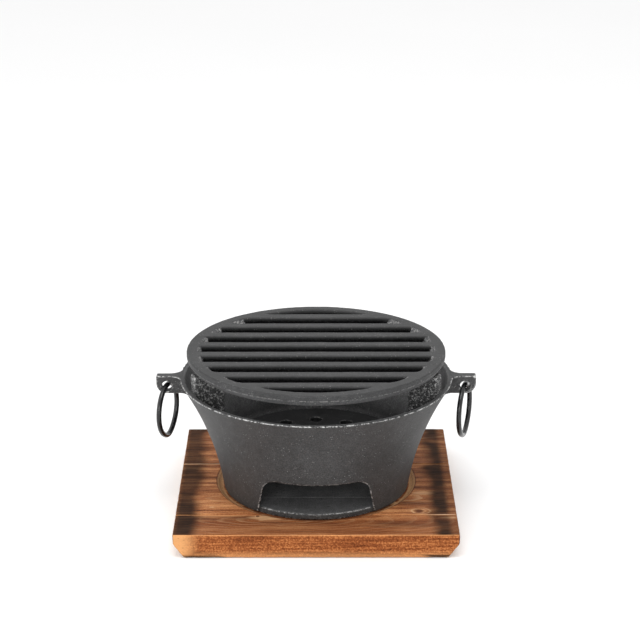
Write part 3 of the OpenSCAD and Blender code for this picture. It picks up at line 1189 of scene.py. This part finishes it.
@dataclass
class WireRing:
    """A split wire ring that hangs in an ear. Sizes are in millimetres."""

    node: str
    body: str
    turn: float
    finish: BlackWire
    wire_r: float = 1.98
    wire_half: float = 2.0
    bend_r: float = 20.0
    point: float = 1.1
    point_w: float = 0.42
    split: float = 3.0
    cap_steps: tuple[tuple[float, float], ...] = ((0.86, 0.22), (0.45, 0.34))
    cap_turn: float = 1.2
    along: int = 150
    around: int = 20

    def build(self) -> None:
        """Bends the wire and puts it in place."""
        low, high = span(self.node)
        self.middle = (low + high) / 2
        self.middle[2] = high[2] - self.wire_half - self.bend_r
        turn = math.radians(self.turn)
        self.tangent = np.array([math.sin(turn), math.cos(turn), 0])
        self.normal = np.array([self.tangent[1], -self.tangent[0], 0])
        half = math.pi - math.radians(self.split) / 2
        loops = [self.loop(place, 1.0, self.reach(place)) for place in np.linspace(-half, half, self.along)]
        for size, lift in self.cap_steps:
            loops.insert(0, self.capped(-half, size, lift))
            loops.append(self.capped(half, size, lift))
        points, normals = (np.concatenate(part) for part in zip(*loops, strict=True))
        made = make_object(
            self.node + "_wire", Casting(points, self.faces(len(loops)), normals), self.finish.material()
        )
        settle_piece(made, self.body, self.node)

    def reach(self, place: float) -> float:
        """The wire's distance from the ring's middle, a little more at the bottom."""
        return self.bend_r + self.point * math.exp(-(((math.pi - abs(place)) / self.point_w) ** 2))

    def loop(self, place: float, size: float, reach: float) -> tuple[Array, Array]:
        """One round of points about the wire.

        Args:
            place: The angle round the ring, 0 at its top.
            size: The round's radius as a share of the wire's.
            reach: Its distance from the ring's middle.

        Returns:
            The points and their outward directions.
        """
        out = math.sin(place) * self.tangent + math.cos(place) * UP
        sides = np.linspace(0, 2 * math.pi, self.around, endpoint=False)
        away = np.cos(sides)[:, None] * out + np.sin(sides)[:, None] * self.normal
        return self.middle + out * reach + away * self.wire_r * size, away

    def capped(self, place: float, size: float, lift: float) -> tuple[Array, Array]:
        """One round of the rounded end of the wire.

        Args:
            place: The angle round the ring at which the wire ends.
            size: The round's radius as a share of the wire's.
            lift: How far it stands beyond the end, in millimetres.

        Returns:
            The points and their normals.
        """
        points, away = self.loop(place, size, self.bend_r + self.point)
        way = math.copysign(1, place) * (math.cos(place) * self.tangent - math.sin(place) * UP)
        normals = away * size + way * (self.cap_turn - size)
        return points + way * lift, normals / np.linalg.norm(normals, axis=1)[:, None]

    def faces(self, count: int) -> Array:
        """The faces between the rounds, and those that close the two ends.

        Args:
            count: How many rounds there are.

        Returns:
            The four points of each face.
        """
        step = np.arange(self.around)
        following = (step + 1) % self.around
        found = []
        for near in range(0, (count - 1) * self.around, self.around):
            far = near + self.around
            found.append(np.stack([near + step, far + step, far + following, near + following], axis=1))
        for base, way in ((0, 1), ((count - 1) * self.around, -1)):
            for k in range(self.around // 2 - 1):
                last = base + self.around - 1 - k
                found.append(np.array([[base + k, base + k + 1, last - 1, last][::way]]))
        return np.concatenate(found)


@dataclass
class Plank:
    """One plank of the board, with its share of the recess and of the cuts under the board's ends.

    Sizes are in millimetres.
    """

    node: str
    finish: ScorchedPine
    seed: int
    recess_r: float = 73.4
    recess_edge: float = 77.4
    recess_depth: float = 3.0
    end_w: float = 8.0
    end_h: float = 11.0
    edge: float = 0.8
    corner: float = 1.0
    cell: float = 1.15

    def field(self, points: Array) -> Array:
        """Distances to the plank.

        Args:
            points: Places in the row frame.

        Returns:
            One distance for each place.
        """
        low, high = span(self.node)
        x, y, z = points[:, 0], points[:, 1], points[:, 2]
        ends = np.abs(x) - high[0]
        run = math.hypot(self.end_w, self.end_h)
        under = ((np.abs(x) - high[0] + self.end_w) * self.end_h - z * self.end_w) / run
        across = np.abs(y - (low[1] + high[1]) / 2) - (high[1] - low[1]) / 2
        slab = np.abs(z - high[2] / 2) - high[2] / 2
        plank = both(both(ends, under, self.corner), across, self.edge)
        plank = both(plank, slab, self.corner)
        radius = np.hypot(x, y)
        slope = self.recess_edge - self.recess_r
        length = math.hypot(slope, self.recess_depth)
        side = ((radius - self.recess_edge) * self.recess_depth - (z - high[2]) * slope) / length
        recess = both(side, (high[2] - self.recess_depth) - z, self.edge)
        return without(plank, recess, 0.7)

    def build(self) -> None:
        """Shapes the plank and puts it in place."""
        low, high = span(self.node)
        casting = Mould(tuple(low), tuple(high), self.cell).cast(self.field)
        along_grain = casting.points * np.array([0.06, 1.0, 1.0])
        waves = ((3.1, self.seed, 0.10), (1.6, self.seed + 1, 0.05))
        dents = np.maximum(clouds(casting.points, 6.0, self.seed + 2) - 0.72, 0) * 0.72
        knocks = np.maximum(clouds(casting.points, 5.0, self.seed + 3), 0) * 0.35
        push = ripples(along_grain, waves, 0.1, 0.0) - dents - casting.shades["ridge"] * knocks
        casting.press(push, low, high)
        made = make_object(self.node + "_wood", casting, self.finish.material())
        settle_piece(made, "board", self.node)


@dataclass
class Studio:
    """The plain pale floor, the soft lights and the camera. Sizes are in metres."""

    aim: tuple[float, float, float] = (0.003, 0.0, 0.1506)
    middle: tuple[float, float, float] = (0.0, 0.0, 0.149)
    distance: float = 1.5
    elevation: float = 19.6
    lens: float = 110.8
    floor_half: float = 6.0
    floor_gap: float = 0.0003
    lamps: tuple[tuple[str, Sequence[float], float, Sequence[float], float], ...] = (
        ("top softbox", (0.0, -0.45, 1.5), 0.1, (0.9, 0.7), 8.0),
        ("front fill", (-0.3, -2.0, 0.75), 0.12, (0.9, 0.7), 12.0),
        ("left strip", (-1.2, -0.35, 0.6), 0.12, (0.3, 1.2), 3.5),
        ("right strip", (1.25, -0.2, 0.6), 0.12, (0.3, 1.2), 0.4),
    )

    def build(self) -> None:
        """Sets up the floor, the lights and the camera."""
        self.floor()
        self.camera()
        for name, place, target_z, size, power in self.lamps:
            self.lamp(name, place, (0, 0, target_z), size, power)
        world = bpy.data.worlds.new("studio air")
        world.use_nodes = True
        back = world.node_tree.nodes["Background"]
        back.inputs["Color"].default_value = (1.0, 1.0, 1.0, 1.0)
        back.inputs["Strength"].default_value = 1.0
        bpy.context.scene.world = world
        bpy.context.scene.view_settings.view_transform = "Standard"

    def floor(self) -> None:
        """Lays a wide pale floor under the board."""
        mesh = bpy.data.meshes.new("studio_floor")
        size = self.floor_half
        corners = [(-size, -size, 0), (size, -size, 0), (size, size, 0), (-size, size, 0)]
        mesh.from_pydata(corners, [], [(0, 1, 2, 3)])
        b = Bench("pale floor")
        tint = b.mix(b.noise(b.place(), 3.0, 2.0), (0.90, 0.90, 0.90), (0.92, 0.92, 0.92))
        mesh.materials.append(b.finish(Base_Color=tint, Roughness=0.9))
        made = bpy.data.objects.new("studio_floor", mesh)
        made.location.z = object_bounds()[0][2] - self.floor_gap
        bpy.context.scene.collection.objects.link(made)
        made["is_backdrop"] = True

    def lamp(
        self,
        name: str,
        place: Sequence[float],
        target: Sequence[float],
        size: Sequence[float],
        power: float,
    ) -> None:
        """Hangs one rectangular softbox.

        Args:
            name: The lamp's name.
            place: Where it hangs.
            target: What it points at.
            size: Its width and height.
            power: Its power in watts.
        """
        data = bpy.data.lights.new(name, "AREA")
        data.shape = "RECTANGLE"
        data.size, data.size_y = size
        data.energy = power
        made = bpy.data.objects.new(name, data)
        made.location = place
        made.rotation_euler = (Vector(target) - Vector(place)).to_track_quat("-Z", "Y").to_euler()
        bpy.context.scene.collection.objects.link(made)

    def camera(self) -> None:
        """Places the camera in front of the air inlet, a little above the grate."""
        data = bpy.data.cameras.new("camera")
        data.lens = self.lens
        data.clip_start = 0.05
        made = bpy.data.objects.new("camera", data)
        up = math.radians(self.elevation)
        back = Vector((0.0, -math.cos(up), math.sin(up)))
        made.location = Vector(self.middle) + back * self.distance
        made.rotation_euler = (Vector(self.aim) - made.location).to_track_quat("-Z", "Y").to_euler()
        bpy.context.scene.collection.objects.link(made)
        bpy.context.scene.camera = made


BACK_MARKS = (
    Mark(Trace.BARE, -62, 88, 20, 2.2, 0.5),
    Mark(Trace.BARE, -24, 84, 24, 3.0, 0.8),
    Mark(Trace.BARE, 22, 80, 34, 1.8, 1.0),
    Mark(Trace.BARE, 48, 85, 16, 1.8, 0.9),
    Mark(Trace.GLOW, 2, 71, 30, 6.0, 0.8),
    Mark(Trace.SMOKE_AND_SHADE, -10, 91, 40, 1.6, 0.5),
    Mark(Trace.SMOKE_AND_SHADE, 74, 82, 12, 3.0, 0.5),
    Mark(Trace.SMOKE_AND_SHADE, 47, 49, 3.0, 3.0, 0.8),
    Mark(Trace.BARE, -44, 35, 1.8, 2.2, 0.7),
)
MIDDLE_MARKS = (
    Mark(Trace.KNOT, 7, -42, 4.2, 3.6, 0.95),
    Mark(Trace.KNOT, 25, -43, 4.0, 3.2, 0.95),
    Mark(Trace.BARE, 4, -29, 3.4, 1.8, 0.8),
    Mark(Trace.BARE, 17, -56, 15, 5.2, 0.72),
    Mark(Trace.KNOT, 77, -60, 5.5, 3.6, 0.9),
    Mark(Trace.BARE, 83, -28, 9, 3.4, 0.6),
    Mark(Trace.BARE, -45, 12, 1.6, 1.4, 0.8),
    Mark(Trace.BARE, -58, -8, 4.0, 1.6, 0.55),
    Mark(Trace.BARE, -79, -53, 2.2, 1.6, 0.8),
    Mark(Trace.SMOKE_AND_SHADE, 60, -45, 30, 7, 0.45),
    Mark(Trace.SMOKE_AND_SHADE, -20, -47, 40, 2.4, 0.4),
)
FRONT_MARKS = (
    # These three dark marks along the front strip are painted shade.
    Mark(Trace.SMOKE_AND_SHADE, -68, -73, 30, 5, 0.55),
    Mark(Trace.SMOKE_AND_SHADE, 62, -84, 28, 6, 0.45),
    Mark(Trace.SMOKE_AND_SHADE, 0, -72, 40, 3, 0.35),
    Mark(Trace.BARE, -37, -72, 13, 4.4, 0.72),
    Mark(Trace.KNOT, -44, -69, 1.6, 2.2, 0.8),
    Mark(Trace.BARE, 99, -72, 7, 1.6, 0.7),
)


def board_finishes() -> dict[str, ScorchedPine]:
    """The finish of each plank, with its own growth pattern and marks."""
    high = span("plank_back")[1]
    joints = (span("plank_back")[0][1], span("plank_front")[1][1])
    shared = {
        "ends": high[0],
        "top": high[2],
        "recess": (Plank.recess_r, Plank.recess_edge),
        "joints": joints,
    }
    patterns = {
        "back": (11.0, 3.4, (10.0, 86.0), 0.10, 0.45, 0.12, BACK_MARKS),
        "middle": (47.0, 2.6, (8.0, -37.0), 0.14, 0.8, 0.08, MIDDLE_MARKS),
        "front": (83.0, 3.0, (-30.0, -76.0), 0.2, 0.2, 0.1, FRONT_MARKS),
    }
    return {
        f"plank_{place}": ScorchedPine(f"{place} plank pine", *pattern, **shared)
        for place, pattern in patterns.items()
    }


def main() -> None:
    """Builds the pieces in order, from the board up."""
    logging.basicConfig(level=logging.INFO, format="%(name)s: %(message)s")
    finishes = board_finishes()
    for seed, (node, finish) in enumerate(finishes.items()):
        Plank(node, finish, 100 + 10 * seed).build()
    stove_tone, grate_tone = (0.045, 0.045, 0.0454), (0.037, 0.037, 0.0375)
    stove_iron = CastIron("stove iron", stove_tone, 0.5, (0.62, 0.62, 0.61), 0.8, 0.00025, 0.55)
    grate_iron = CastIron("grate iron", grate_tone, 0.45, (0.60, 0.59, 0.57), 0.85, 0.0002, 0.55)
    Stove(stove_iron).build()
    FireGrate(grate_iron).build()
    CookingGrate(grate_iron).build()
    enamel = BlackWire("black enamel", (0.006, 0.006, 0.0065))
    WireRing("ring_left", "left_ring", 16.0, enamel).build()
    WireRing("ring_right", "right_ring", 16.0, enamel).build()
    Studio().build()


if __name__ == "__main__":
    main()
